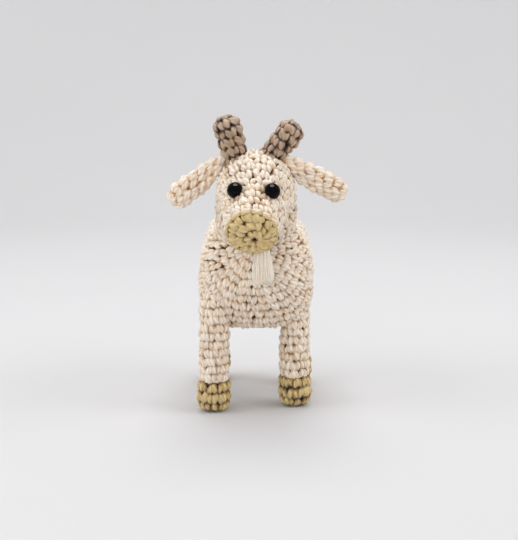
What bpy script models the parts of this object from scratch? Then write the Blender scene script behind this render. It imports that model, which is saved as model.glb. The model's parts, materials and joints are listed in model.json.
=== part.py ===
"""Crocheted goat figure, made of separate crocheted, stuffed and sewn pieces.

Metres, +Z up. The goat stands on the floor at z = 0 and faces -Y, so its own left side is +X.
The origin is on the floor, in the middle of the whole figure.
Every crocheted piece is a fabric shell of its real thickness, and the fibre filling is its own solid.
"""

import math

import bmesh
import bpy
from mathutils import Matrix, Vector

MM = 0.001
GAP = 0.3 * MM
NECK_GAP = 0.4 * MM
ON_AXIS = 1e-9
MERGE_DISTANCE = 0.01 * MM
SHARP_ANGLE = math.radians(40.0)
BODY_WALL = 3.0 * MM
HEAD_WALL = 2.8 * MM
LIMB_WALL = 2.3 * MM
HORN_WALL = 2.0 * MM

# Body: a barrel with a steep chest and a rounded rump. Its underside is squarer than its back.
BODY_FRONT = -29.8 * MM
BODY_LENGTH = 82.0 * MM
BODY_HALF_WIDTH = 24.8 * MM
BODY_BOTTOM = 35.5 * MM
BODY_TOP = 86.0 * MM
NECK_RISE = 4.5 * MM
NECK_LENGTH = 40.0 * MM
CHEST_POLE_HEIGHT = 74.5 * MM
RUMP_POLE_HEIGHT = 63.0 * MM
CHEST_DEPTH = 17.0 * MM
RUMP_DEPTH = 17.0 * MM
CAP_POWER = 2.4
UNDERSIDE_POWER = 3.4
BACK_POWER = 1.9
BODY_SIDES = 32
CAP_STEPS = 6
BARREL_STEPS = 3

# Head: a ball drawn out into a muzzle, tilted down and turned a little to the goat's right.
HEAD_CENTRE = Vector((0.0, BODY_FRONT + 1.0 * MM, 97.9 * MM))
HEAD_RADIUS = 16.8 * MM
HEAD_TILT = math.radians(27.0)
HEAD_TURN = math.radians(3.5)
CHEEK_ANGLE = math.radians(60.0)
MUZZLE_RADIUS = 10.6 * MM
MUZZLE_START = 30.3 * MM
MUZZLE_BULGE = 3.6 * MM
HEAD_SIDES = 28

# Safety eyes
EYE_RADIUS = 3.3 * MM
EYE_HEIGHT = 3.0 * MM
EYE_POST_RADIUS = 1.1 * MM
EYE_POST_LENGTH = 9.0 * MM
EYE_ALONG = 15.9 * MM
EYE_AROUND = {"left": math.radians(36.2), "right": math.radians(33.4)}
EYE_BACK = 0.3 * MM
WASHER_RADIUS = 3.8 * MM
WASHER_THICKNESS = 1.0 * MM
WASHER_DEPTH = 3.8 * MM

# Horns: each leans and stands a little differently from the other.
HORN_FOOT_OUT = {"left": 7.2 * MM, "right": 8.6 * MM}
HORN_LEAN = {"left": math.radians(37.0), "right": math.radians(16.0)}
HORN_LENGTH = {"left": 16.9 * MM, "right": 18.3 * MM}
HORN_RADIUS = {"left": 5.5 * MM, "right": 5.8 * MM}
HORN_FOOT_RADIUS = 5.0 * MM
HORN_SUNK = 5.0 * MM

# Ears: flat double layers that hang from an upright seam on each side of the head
EAR_SEAM_OUT = 17.8 * MM
EAR_SEAM_HEIGHT = 106.0 * MM
EAR_SEAM_LEAN = math.radians(28.0)
EAR_SEAM_HALF = 6.6 * MM
EAR_DROOP = {"left": math.radians(26.0), "right": math.radians(35.0)}
EAR_LENGTH = {"left": 17.7 * MM, "right": 17.8 * MM}
EAR_TIP_RADIUS = 5.3 * MM
EAR_HALF_THICKNESS = 2.6 * MM
EAR_ROUNDING = 2.5 * MM

# Goatee and tail
GOATEE_AROUND = math.radians(14.5)
GOATEE_ALONG = 22.0 * MM
GOATEE_LENGTH = 15.6 * MM
GOATEE_ROOT_RADIUS = 1.5 * MM
GOATEE_HALF_DEPTH = 1.9 * MM
GOATEE_FULL_AT = 0.8 * GOATEE_LENGTH
GOATEE_END_AT = 0.95 * GOATEE_LENGTH
GOATEE_END_HALF_DEPTH = 1.5 * MM
GOATEE_BREADTH = 2.2
TAIL_ROOT_HEIGHT = 75.0 * MM
TAIL_RADIUS = 4.2 * MM
TAIL_ROOT_RADIUS = 3.4 * MM
TAIL_LENGTH = 9.5 * MM
TAIL_DROOP = math.radians(38.0)

# Legs and hooves. The feet stand a little uneven: one of each pair is ahead of the other.
FRONT_LEG_OUT = 17.7 * MM
REAR_LEG_OUT = 19.0 * MM
LEG_SHIFT = 0.6 * MM
LEG_RADIUS = 6.4 * MM
LEG_TOP = 53.0 * MM
FRONT_LEG_Y = BODY_FRONT + 13.0 * MM
REAR_LEG_Y = BODY_FRONT + BODY_LENGTH - 19.0 * MM
STANCE = 4.8 * MM
HIP_HEIGHT = 42.0 * MM
HIP_SWING = math.radians(8.0)
HOOF_RADIUS = 7.3 * MM
HOOF_HEIGHT = 14.0 * MM
HOOF_ROUNDING = 4.0 * MM
HOOF_INSIDE_SLOPE = 1.2 * MM
LIMB_SIDES = 16

SIDES = {"left": 1.0, "right": -1.0}
LEGS = {
    "front_left": Vector((FRONT_LEG_OUT - LEG_SHIFT, FRONT_LEG_Y + STANCE, 0.0)),
    "front_right": Vector((-FRONT_LEG_OUT - LEG_SHIFT, FRONT_LEG_Y - STANCE, 0.0)),
    "rear_left": Vector((REAR_LEG_OUT - LEG_SHIFT, REAR_LEG_Y - STANCE, 0.0)),
    "rear_right": Vector((-REAR_LEG_OUT - LEG_SHIFT, REAR_LEG_Y + STANCE, 0.0)),
}

CREAM = (0.83, 0.76, 0.68, 1.0)
STRAW = (0.70, 0.58, 0.30, 1.0)
TAN = (0.42, 0.29, 0.19, 1.0)
BLACK = (0.01, 0.01, 0.012, 1.0)
WHITE_FIBRE = (0.90, 0.90, 0.88, 1.0)
WASHER_WHITE = (0.82, 0.84, 0.86, 1.0)


def clear_scene():
    for thing in list(bpy.data.objects):
        bpy.data.objects.remove(thing, do_unlink=True)


def new_collection(name):
    collection = bpy.data.collections.new(name)
    bpy.context.scene.collection.children.link(collection)
    return collection


def finish_piece(thing, colour, roughness):
    """Gives a piece its own material and smooth shading."""
    material = bpy.data.materials.new(thing.name + "_material")
    material.use_nodes = True
    shader = material.node_tree.nodes["Principled BSDF"]
    shader.inputs["Base Color"].default_value = colour
    shader.inputs["Roughness"].default_value = roughness
    shader.inputs["Metallic"].default_value = 0.0
    thing.data.materials.clear()
    thing.data.materials.append(material)
    thing.data.shade_smooth()
    thing.data.set_sharp_from_angle(angle=SHARP_ANGLE)


def mesh_object(name, collection, build, matrix=None):
    """Makes an object whose mesh is filled in by build(bmesh)."""
    shape = bmesh.new()
    build(shape)
    mesh = bpy.data.meshes.new(name)
    shape.to_mesh(mesh)
    shape.free()
    thing = bpy.data.objects.new(name, mesh)
    if matrix is not None:
        thing.matrix_world = matrix
    collection.objects.link(thing)
    return thing


def as_cutter(thing):
    thing.hide_render = True
    thing.display_type = "WIRE"
    return thing


def cut(thing, *cutters):
    for cutter in cutters:
        modifier = thing.modifiers.new("cut_" + cutter.name, "BOOLEAN")
        modifier.operation = "DIFFERENCE"
        modifier.solver = "EXACT"
        modifier.object = cutter


def turned(name, collection, profile, sides, matrix=None):
    """Turns a closed outline of (radius, height) points about its own Z axis.

    The outline runs down its outer side. It is a ring, or starts and ends on the axis.
    """

    def build(shape):
        corners = [shape.verts.new((radius, 0.0, height)) for radius, height in profile]
        for first, second in zip(corners, corners[1:]):
            shape.edges.new((first, second))
        if profile[0][0] > ON_AXIS:
            shape.edges.new((corners[-1], corners[0]))

    thing = mesh_object(name, collection, build, matrix)
    screw = thing.modifiers.new("turn", "SCREW")
    screw.axis = "Z"
    screw.angle = 2.0 * math.pi
    screw.steps = sides
    screw.render_steps = sides
    screw.use_merge_vertices = True
    screw.merge_threshold = MERGE_DISTANCE
    screw.use_smooth_shade = True
    return thing


def ball(name, collection, centre, radius, segments, rings):
    def build(shape):
        bmesh.ops.create_uvsphere(shape, u_segments=segments, v_segments=rings, radius=radius)

    return mesh_object(name, collection, build, Matrix.Translation(centre))


def arc(centre_height, radius, start, stop, steps):
    """Points (radius, height) on a circle about the axis, by angle from the axis top."""
    angles = [start + (stop - start) * step / steps for step in range(steps + 1)]
    points = [(radius * math.sin(a), centre_height + radius * math.cos(a)) for a in angles]
    return [(out if out > ON_AXIS else 0.0, height) for out, height in points]


def pointing(centre, direction):
    """A matrix at centre whose local Z points along direction."""
    turn = direction.to_track_quat("Z", "Y").to_matrix().to_4x4()
    return Matrix.Translation(centre) @ turn


def body_section(angle, y, inset):
    """One point of the barrel's outline at y, angle 0 at the top, as (sideways, height)."""
    up = math.cos(angle)
    out = math.sin(angle)
    power = BACK_POWER if up > 0.0 else UNDERSIDE_POWER
    size = (abs(up) ** power + abs(out) ** power) ** (-1.0 / power)
    middle = 0.5 * (BODY_TOP + BODY_BOTTOM)
    half_height = 0.5 * (BODY_TOP - BODY_BOTTOM) - inset
    if up > 0.0:
        share = min(max((y - BODY_FRONT) / NECK_LENGTH, 0.0), 1.0)
        half_height += NECK_RISE * 0.5 * (1.0 + math.cos(math.pi * share))
    return (BODY_HALF_WIDTH - inset) * out * size, middle + half_height * up * size


def body_rings(inset):
    """Rings of the body as (share of the full section, y, height of the pole)."""
    rings = []
    front = BODY_FRONT + inset
    rear = BODY_FRONT + BODY_LENGTH - inset
    chest_depth = CHEST_DEPTH - inset
    rump_depth = RUMP_DEPTH - inset
    steps = [0.5 * math.pi * (step + 1) / CAP_STEPS for step in range(CAP_STEPS)]
    for angle in steps:
        share = math.sin(angle) ** (2.0 / CAP_POWER)
        depth = 1.0 - max(math.cos(angle), 0.0) ** (2.0 / CAP_POWER)
        rings.append((share, front + chest_depth * depth, CHEST_POLE_HEIGHT))
    start = front + chest_depth
    stop = rear - rump_depth
    for step in range(1, BARREL_STEPS):
        rings.append((1.0, start + (stop - start) * step / BARREL_STEPS, RUMP_POLE_HEIGHT))
    for angle in reversed(steps):
        share = math.sin(angle) ** (2.0 / CAP_POWER)
        depth = 1.0 - max(math.cos(angle), 0.0) ** (2.0 / CAP_POWER)
        rings.append((share, rear - rump_depth * depth, RUMP_POLE_HEIGHT))
    return front, rear, rings


def body_solid(name, collection, inset, matrix=None):
    """The body's outer form, moved inwards by inset. Its rings are lofted from chest to rump."""
    front, rear, rings = body_rings(inset)
    angles = [2.0 * math.pi * side / BODY_SIDES for side in range(BODY_SIDES)]

    def build(shape):
        rows = []
        for share, y, pole in rings:
            outline = [body_section(angle, y, inset) for angle in angles]
            row = [shape.verts.new((share * x, y, pole + share * (z - pole))) for x, z in outline]
            rows.append(row)
        chest = shape.verts.new((0.0, front, CHEST_POLE_HEIGHT))
        rump = shape.verts.new((0.0, rear, RUMP_POLE_HEIGHT))
        for side in range(BODY_SIDES):
            after = (side + 1) % BODY_SIDES
            shape.faces.new((chest, rows[0][side], rows[0][after]))
            shape.faces.new((rump, rows[-1][after], rows[-1][side]))
            for near, far in zip(rows, rows[1:]):
                shape.faces.new((near[side], far[side], far[after], near[after]))
        bmesh.ops.recalc_face_normals(shape, faces=shape.faces)

    return mesh_object(name, collection, build, matrix)


def head_axis():
    flat = math.cos(HEAD_TILT)
    return Vector((-math.sin(HEAD_TURN) * flat, -math.cos(HEAD_TURN) * flat, -math.sin(HEAD_TILT)))


def head_matrix():
    return pointing(HEAD_CENTRE, head_axis())


def head_profile(inset, front):
    """Outer side of the head from the muzzle rim back to the crown's pole."""
    radius = HEAD_RADIUS - inset
    rim = (MUZZLE_RADIUS - inset, front)
    return [rim] + arc(0.0, radius, CHEEK_ANGLE, math.pi, 10)


def make_body(parts, cutters):
    shell = body_solid("body_shell", parts, 0.0)
    cavity = as_cutter(body_solid("body_cavity", cutters, BODY_WALL))
    neck = as_cutter(ball("neck_pocket", cutters, HEAD_CENTRE, HEAD_RADIUS + NECK_GAP, 32, 20))
    cut(shell, cavity, neck)
    finish_piece(shell, CREAM, 0.9)
    stuffing = body_solid("body_stuffing", parts, BODY_WALL + GAP)
    cut(stuffing, neck)
    finish_piece(stuffing, WHITE_FIBRE, 0.95)


def cheek_slope():
    """Rate at which the head narrows from the cheeks to the muzzle."""
    cheek = HEAD_RADIUS * math.sin(CHEEK_ANGLE)
    start = HEAD_RADIUS * math.cos(CHEEK_ANGLE)
    return (cheek - MUZZLE_RADIUS) / (MUZZLE_START - start)


def head_radius_at(along):
    """The head's radius between the cheeks and the muzzle, by distance along its axis."""
    return MUZZLE_RADIUS + cheek_slope() * (MUZZLE_START - along)


def head_outwards(around):
    """Square to the head's axis: angle 0 is upwards, a positive angle is to the goat's left."""
    axis = head_axis()
    up = Vector((0.0, 0.0, 1.0))
    up = (up - axis * up.dot(axis)).normalized()
    left = axis.cross(up)
    return up * math.cos(around) - left * math.sin(around)


def eye_matrix(side):
    """On the head's surface, pointing straight out of it."""
    outwards = head_outwards(SIDES[side] * EYE_AROUND[side])
    place = HEAD_CENTRE + head_axis() * EYE_ALONG + outwards * head_radius_at(EYE_ALONG)
    return pointing(place, outwards + head_axis() * cheek_slope())


def make_head(parts, cutters):
    matrix = head_matrix()
    outer = head_profile(0.0, MUZZLE_START)
    inner = head_profile(HEAD_WALL, MUZZLE_START)
    shell = turned("head_shell", parts, inner[::-1] + outer, HEAD_SIDES, matrix)

    bulge_top = MUZZLE_START + MUZZLE_BULGE
    bulge_radius = (MUZZLE_RADIUS**2 + MUZZLE_BULGE**2) / (2.0 * MUZZLE_BULGE)
    bulge_angle = math.asin(MUZZLE_RADIUS / bulge_radius)
    dome = arc(bulge_top - bulge_radius + GAP, bulge_radius, 0.0, bulge_angle, 5)
    back = [(MUZZLE_RADIUS - HEAD_WALL, MUZZLE_START + GAP), (0.0, MUZZLE_START + 0.5 * MUZZLE_BULGE)]
    muzzle = turned("muzzle", parts, dome + back, HEAD_SIDES, matrix)

    stuffing_front = MUZZLE_START - GAP
    filling = head_profile(HEAD_WALL + GAP, stuffing_front)
    stuffing = turned("head_stuffing", parts, [(0.0, stuffing_front)] + filling, 20, matrix)

    for side in SIDES:
        eye_place = eye_matrix(side)
        make_eye(parts, side, eye_place)
        cut(shell, make_eye_hole(cutters, side, eye_place))
        cut(stuffing, make_washer_room(cutters, side, eye_place))
    finish_piece(shell, CREAM, 0.9)
    finish_piece(muzzle, STRAW, 0.9)
    finish_piece(stuffing, WHITE_FIBRE, 0.95)


def make_eye(parts, side, matrix):
    """A domed button on a post, and the washer that is pushed over the post inside the head."""
    curve = (EYE_RADIUS**2 + EYE_HEIGHT**2) / (2.0 * EYE_HEIGHT)
    edge = math.asin(EYE_RADIUS / curve)
    dome = arc(EYE_BACK + EYE_HEIGHT - curve, curve, 0.0, edge, 5)
    post_end = EYE_BACK - EYE_POST_LENGTH
    post = [(EYE_POST_RADIUS, EYE_BACK), (EYE_POST_RADIUS, post_end), (0.0, post_end)]
    eye = turned("eye_" + side, parts, dome + post, 14, matrix)
    finish_piece(eye, BLACK, 0.08)

    face = -WASHER_DEPTH
    hole = EYE_POST_RADIUS + GAP
    back = face - WASHER_THICKNESS
    outline = [(WASHER_RADIUS, face), (WASHER_RADIUS, back), (hole, back), (hole, face)]
    washer = turned("eye_washer_" + side, parts, outline, 14, matrix)
    finish_piece(washer, WASHER_WHITE, 0.4)


def make_eye_hole(cutters, side, matrix):
    """The hole that an eye's post needs, and the flat seat under its dome."""
    seat = EYE_BACK - GAP
    seat_radius = EYE_RADIUS + GAP
    hole = EYE_POST_RADIUS + GAP
    end = EYE_BACK - EYE_POST_LENGTH
    outline = [(0.0, EYE_HEIGHT), (seat_radius, EYE_HEIGHT), (seat_radius, seat)]
    outline += [(hole, seat), (hole, end), (0.0, end)]
    return as_cutter(turned("eye_hole_" + side, cutters, outline, 16, matrix))


def make_washer_room(cutters, side, matrix):
    """The hollow that the post and its washer press into the filling."""
    room = WASHER_RADIUS + GAP
    hole = EYE_POST_RADIUS + GAP
    low = -WASHER_DEPTH - WASHER_THICKNESS - GAP
    end = EYE_BACK - EYE_POST_LENGTH - GAP
    outline = [(0.0, 0.0), (room, 0.0), (room, low), (hole, low), (hole, end), (0.0, end)]
    return as_cutter(turned("washer_room_" + side, cutters, outline, 16, matrix))


def make_head_clearance(cutters):
    """The head's outer form with a gap all round, which trims the feet of the horns."""
    outline = [(0.0, MUZZLE_START)] + head_profile(-GAP, MUZZLE_START)
    return as_cutter(turned("head_clearance", cutters, outline, HEAD_SIDES, head_matrix()))


def horn_foot(side):
    """Where a horn's axis leaves the head, and the way it points."""
    out = SIDES[side] * HORN_FOOT_OUT[side]
    rise = math.sqrt(HEAD_RADIUS**2 - HORN_FOOT_OUT[side] ** 2)
    lean = SIDES[side] * HORN_LEAN[side]
    direction = Vector((math.sin(lean), 0.0, math.cos(lean)))
    return HEAD_CENTRE + Vector((out, 0.0, rise)), direction


def make_horns(parts, clearance):
    for side in SIDES:
        foot, direction = horn_foot(side)
        matrix = pointing(foot, direction)
        radius = HORN_RADIUS[side]
        tip = HORN_LENGTH[side] - radius
        outer = arc(tip, radius, 0.0, 0.5 * math.pi, 5) + [(HORN_FOOT_RADIUS, -HORN_SUNK)]
        inside = radius - HORN_WALL
        inner = arc(tip, inside, 0.5 * math.pi, 0.0, 4)
        foot_inside = HORN_FOOT_RADIUS - HORN_WALL
        shell = turned("horn_" + side, parts, outer + [(foot_inside, -HORN_SUNK)] + inner, LIMB_SIDES, matrix)
        cut(shell, clearance)
        finish_piece(shell, TAN, 0.9)
        filling = arc(tip, inside - GAP, 0.0, 0.5 * math.pi, 4)
        filling += [(foot_inside - GAP, -HORN_SUNK), (0.0, -HORN_SUNK)]
        stuffing = turned("horn_stuffing_" + side, parts, filling, 12, matrix)
        cut(stuffing, clearance)
        finish_piece(stuffing, WHITE_FIBRE, 0.95)


def ear_seam(side):
    """Middle of an ear's seam and the direction that the seam runs, upwards and inwards."""
    out = SIDES[side]
    middle = Vector((out * EAR_SEAM_OUT, HEAD_CENTRE.y, EAR_SEAM_HEIGHT))
    along = Vector((-out * math.sin(EAR_SEAM_LEAN), 0.0, math.cos(EAR_SEAM_LEAN)))
    return middle, along


def ear_outline(side):
    """Flat outline of an ear about the middle of its seam, as vectors in the XZ plane."""
    _, along = ear_seam(side)
    out = SIDES[side]
    droop = EAR_DROOP[side]
    length = Vector((out * math.cos(droop), 0.0, -math.sin(droop)))
    across = Vector((out * math.sin(droop), 0.0, math.cos(droop)))
    inwards = Vector((-out * along.z, 0.0, out * along.x)) * EAR_HALF_THICKNESS
    tip = length * EAR_LENGTH[side]
    points = [inwards + along * EAR_SEAM_HALF]
    for step in range(7):
        angle = 0.5 * math.pi - math.pi * step / 6
        points.append(tip + (across * math.sin(angle) + length * math.cos(angle)) * EAR_TIP_RADIUS)
    points.append(inwards - along * EAR_SEAM_HALF)
    return points


def make_ears(parts):
    """Each ear is a thick sheet with round edges. The edge at the seam is round about the hinge."""
    for side in SIDES:
        middle, _ = ear_seam(side)
        outline = ear_outline(side)

        def build(shape):
            shape.faces.new([shape.verts.new(point) for point in outline])

        ear = mesh_object("ear_" + side, parts, build, Matrix.Translation(middle))
        thicken = ear.modifiers.new("thicken", "SOLIDIFY")
        thicken.thickness = 2.0 * EAR_HALF_THICKNESS
        thicken.offset = 0.0
        rounding = ear.modifiers.new("round", "BEVEL")
        rounding.width = EAR_ROUNDING
        rounding.segments = 4
        rounding.limit_method = "ANGLE"
        rounding.angle_limit = math.radians(45.0)
        finish_piece(ear, CREAM, 0.9)


def goatee_root():
    outwards = head_outwards(math.pi - GOATEE_AROUND)
    reach = head_radius_at(GOATEE_ALONG) + GAP + GOATEE_ROOT_RADIUS
    return HEAD_CENTRE + head_axis() * GOATEE_ALONG + outwards * reach


def make_goatee(parts):
    """A flat tuft of yarn that hangs from the chin, with a root that is round about its hinge."""
    outline = arc(0.0, GOATEE_ROOT_RADIUS, 0.0, 0.5 * math.pi, 3)
    outline += [(GOATEE_HALF_DEPTH, -GOATEE_FULL_AT), (GOATEE_END_HALF_DEPTH, -GOATEE_END_AT)]
    outline += [(0.0, -GOATEE_LENGTH)]
    matrix = Matrix.Translation(goatee_root()) @ Matrix.Diagonal((GOATEE_BREADTH, 1.0, 1.0, 1.0))
    goatee = turned("goatee", parts, outline, 12, matrix)
    finish_piece(goatee, CREAM, 0.95)


def swung_bodies(cutters, name, pivot, angles):
    """The body with a gap all round, as a piece that swings about pivot along X meets it."""
    found = []
    for step, angle in enumerate(angles):
        turn = Matrix.Translation(pivot) @ Matrix.Rotation(-angle, 4, "X") @ Matrix.Translation(-pivot)
        found.append(as_cutter(body_solid(f"{name}_path_{step}", cutters, -GAP, turn)))
    return found


def make_legs(parts, cutters):
    for name, foot in LEGS.items():
        hip = foot + Vector((0.0, 0.0, HIP_HEIGHT))
        path = swung_bodies(cutters, "leg_" + name, hip, (-HIP_SWING, 0.0, HIP_SWING))
        matrix = Matrix.Translation(hip)
        make_leg(parts, name, matrix, path)
        make_hoof(parts, name, matrix)


def make_leg(parts, name, matrix, path):
    """A crocheted tube, open at both ends and trimmed to the body, and the filling in it."""
    top = LEG_TOP - HIP_HEIGHT
    bottom = HOOF_HEIGHT + GAP - HIP_HEIGHT
    inside = LEG_RADIUS - LIMB_WALL
    tube = [(LEG_RADIUS, top), (LEG_RADIUS, bottom), (inside, bottom), (inside, top)]
    leg = turned("leg_" + name, parts, tube, LIMB_SIDES, matrix)
    cut(leg, *path)
    finish_piece(leg, CREAM, 0.9)

    slim = inside - GAP
    low = LIMB_WALL + GAP - HIP_HEIGHT
    filling = [(0.0, top), (slim, top), (slim, low + HOOF_ROUNDING)]
    filling += [(slim - HOOF_INSIDE_SLOPE, low), (0.0, low)]
    stuffing = turned("leg_stuffing_" + name, parts, filling, LIMB_SIDES, matrix)
    cut(stuffing, *path)
    finish_piece(stuffing, WHITE_FIBRE, 0.95)


def make_hoof(parts, name, matrix):
    """A cup in its own yarn, closed by a flat sole with a rounded edge."""
    sole = -HIP_HEIGHT
    rim = HOOF_HEIGHT - HIP_HEIGHT
    inside = LEG_RADIUS - LIMB_WALL
    floor = sole + LIMB_WALL
    room = [(0.0, floor), (inside - HOOF_INSIDE_SLOPE, floor), (inside, floor + HOOF_ROUNDING), (inside, rim)]
    outer = [(HOOF_RADIUS - GAP, rim), (HOOF_RADIUS, rim - HOOF_ROUNDING)]
    for step in range(4):
        angle = 0.5 * math.pi * step / 3
        out = HOOF_RADIUS - HOOF_ROUNDING * (1.0 - math.cos(angle))
        outer.append((out, sole + HOOF_ROUNDING * (1.0 - math.sin(angle))))
    hoof = turned("hoof_" + name, parts, room + outer + [(0.0, sole)], LIMB_SIDES, matrix)
    finish_piece(hoof, STRAW, 0.9)


def rump_y(height):
    """Where the middle line of the rump lies at a height above its pole."""
    share = (height - RUMP_POLE_HEIGHT) / (BODY_TOP - RUMP_POLE_HEIGHT)
    return BODY_FRONT + BODY_LENGTH - RUMP_DEPTH * (1.0 - (1.0 - share**CAP_POWER) ** (1.0 / CAP_POWER))


def tail_root():
    """The tail's hinge, off the rump by the radius of the tail's round root."""
    step = 0.5 * MM
    slope = (rump_y(TAIL_ROOT_HEIGHT + step) - rump_y(TAIL_ROOT_HEIGHT - step)) / (2.0 * step)
    outwards = Vector((0.0, 1.0, -slope)).normalized()
    foot = Vector((0.0, rump_y(TAIL_ROOT_HEIGHT), TAIL_ROOT_HEIGHT))
    return foot + outwards * (TAIL_ROOT_RADIUS + GAP)


def make_tail(parts):
    """A short stuffed tail that hangs from the rump on a round root."""
    direction = Vector((0.0, math.cos(TAIL_DROOP), -math.sin(TAIL_DROOP)))
    tip = TAIL_LENGTH - TAIL_RADIUS
    outline = arc(tip, TAIL_RADIUS, 0.0, 0.5 * math.pi, 4)
    outline += arc(0.0, TAIL_ROOT_RADIUS, 0.5 * math.pi, math.pi, 4)
    tail = turned("tail", parts, outline, 12, pointing(tail_root(), direction))
    finish_piece(tail, CREAM, 0.9)


def main():
    clear_scene()
    parts = new_collection("crocheted_goat")
    cutters = new_collection("crocheted_goat_cutters")
    make_body(parts, cutters)
    make_head(parts, cutters)
    make_horns(parts, make_head_clearance(cutters))
    make_ears(parts)
    make_goatee(parts)
    make_tail(parts)
    make_legs(parts, cutters)


main()
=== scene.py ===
"""The looks of a crocheted, stuffed goat. Every stitch is made of strands of plied yarn on the model's form.

Metres, +Z up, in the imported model's frame. The goat faces -Y and its own left is +X.
"""

import json
import math

import bmesh
import bpy
import numpy as np
from mathutils import Matrix, Vector


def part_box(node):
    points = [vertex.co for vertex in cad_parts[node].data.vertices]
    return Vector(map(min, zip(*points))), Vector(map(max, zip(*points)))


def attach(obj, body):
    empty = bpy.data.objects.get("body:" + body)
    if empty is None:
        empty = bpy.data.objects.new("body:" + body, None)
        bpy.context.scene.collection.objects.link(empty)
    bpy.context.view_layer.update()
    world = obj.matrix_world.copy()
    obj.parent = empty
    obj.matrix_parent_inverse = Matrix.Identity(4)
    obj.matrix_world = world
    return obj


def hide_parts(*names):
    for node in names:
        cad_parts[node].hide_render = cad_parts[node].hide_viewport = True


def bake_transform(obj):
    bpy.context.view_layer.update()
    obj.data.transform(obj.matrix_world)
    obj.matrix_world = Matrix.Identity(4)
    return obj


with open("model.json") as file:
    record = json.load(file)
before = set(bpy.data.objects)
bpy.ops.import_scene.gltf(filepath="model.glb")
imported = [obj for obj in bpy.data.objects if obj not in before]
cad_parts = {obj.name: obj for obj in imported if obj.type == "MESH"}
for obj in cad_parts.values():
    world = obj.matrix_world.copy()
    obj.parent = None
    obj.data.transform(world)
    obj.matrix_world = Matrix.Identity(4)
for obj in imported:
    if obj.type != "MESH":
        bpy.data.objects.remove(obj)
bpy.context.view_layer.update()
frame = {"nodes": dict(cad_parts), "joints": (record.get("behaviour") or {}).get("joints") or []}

MM = 0.001
RANDOM = np.random.default_rng(24)

# The yarn, and the single crochet stitch that it makes
PLIES = 4
STRAND_SIDES = 16
PLY_DEPTH = 0.19
PLY_TWIST = 640.0
LEG_RADIUS = 1.40 * MM
BAR_RADIUS = 1.10 * MM
ROSETTE_RADIUS = 1.50 * MM
STITCH_WIDTH = 5.0 * MM
ROW_HEIGHT = 3.6 * MM
STITCH_SKEW = 0.10
FABRIC_DEPTH = 2.1 * MM
BACKING_DEPTH = 2.4 * MM
YARN_SINK = 0.65 * MM
RIDGE_SWAY = 0.6 * MM
THREADS_IN_PLY = 3
FINE_HEIGHT = 4.0 * MM

# The body's form, as in the model
CAP_POWER = 2.4
UNDERSIDE_POWER = 3.4
BACK_POWER = 1.9
CHEST_DEPTH = 17.0 * MM
RUMP_DEPTH = 17.0 * MM
CHEST_POLE_HEIGHT = 74.5 * MM
RUMP_POLE_HEIGHT = 63.0 * MM
BODY_TOP = 86.0 * MM
NECK_RISE = 4.5 * MM
NECK_LENGTH = 40.0 * MM
CHEST_SHARE = 0.35
RUMP_SHARE = 0.3

# The joining rounds at the neck: angles from the way down through it, and how far they reach past the head
NECK_DOWN = (0.0, 0.685, -0.729)
NECK_POLAR = 50.0
NECK_POLAR_AT_SIDES = 32.0
NECK_WIDEST_POLAR = 115.0
NECK_REACH = 4.6 * MM
NECK_REACH_AT_SIDES = 5.0 * MM
NECK_BULGE = 1.2 * MM

# The head's form
HEAD_RADIUS = 16.8 * MM
HEAD_TILT = math.radians(28.2)
HEAD_TURN = math.radians(3.5)
CHEEK_ANGLE = math.radians(60.0)
MUZZLE_RADIUS = 10.6 * MM
MUZZLE_START = 30.3 * MM
MUZZLE_BULGE = 3.6 * MM
EYE_RADIUS = 3.45 * MM
EYE_HEIGHT = 3.3 * MM
EYE_BACK = 0.3 * MM
EYE_POST_RADIUS = 1.1 * MM
EYE_POST_LENGTH = 9.0 * MM
EYE_ALONG = 15.9 * MM
EYE_AROUND = {"left": math.radians(36.2), "right": math.radians(33.4)}
MUZZLE_HOLE_ASIDE = 1.5 * MM
MUZZLE_HOLE_DOWN = 1.3 * MM
EYE_SOCKET = 0.70 * EYE_RADIUS
EYE_DENT = 1.45 * EYE_RADIUS

# Rounds of the muzzle and of a hoof, each as (share where it starts, share where it ends, stitches)
MUZZLE_ROUNDS = ((0.14, 0.40, 4), (0.40, 0.68, 7), (0.68, 0.93, 10))
HOOF_ROUNDS = ((0.04, 0.26, 6), (0.26, 0.52, 9), (0.52, 0.76, 9), (0.76, 1.0, 9))

# Legs and hooves
HOOF_ROUNDING = 5.0 * MM
LEG_DOME_HEIGHT = 47.0 * MM
LEG_FILLING_FOOT = 6.0 * MM
LEG_FILLING_TOP = 45.0 * MM

# Horns, ears and tail
HORN_FOOT_OUT = {"left": 7.2 * MM, "right": 8.6 * MM}
HORN_LEAN = {"left": math.radians(37.0), "right": math.radians(16.0)}
HORN_LENGTH = {"left": 16.9 * MM, "right": 18.3 * MM}
HORN_RADIUS = {"left": 5.5 * MM, "right": 5.8 * MM}
HORN_FOOT_RADIUS = 5.0 * MM
HORN_STITCH_WIDTH = 5.6 * MM
EAR_SEAM_LEAN = math.radians(28.0)
EAR_SEAM_HALF = 6.0 * MM
EAR_DROOP = {"left": math.radians(26.0), "right": math.radians(35.0)}
EAR_LENGTH = {"left": 17.7 * MM, "right": 17.8 * MM}
EAR_TIP_RADIUS = 5.3 * MM
EAR_HALF_THICKNESS = 2.6 * MM
EAR_TIP_SHARE = 0.3
EAR_SUNK = 4.5 * MM
HORN_SUNK = 4.0 * MM
TAIL_SUNK = 4.0 * MM
TAIL_RADIUS = 4.2 * MM
TAIL_ROOT_RADIUS = 3.6 * MM
TAIL_LENGTH = 9.5 * MM
TAIL_DROOP = math.radians(38.0)

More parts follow.
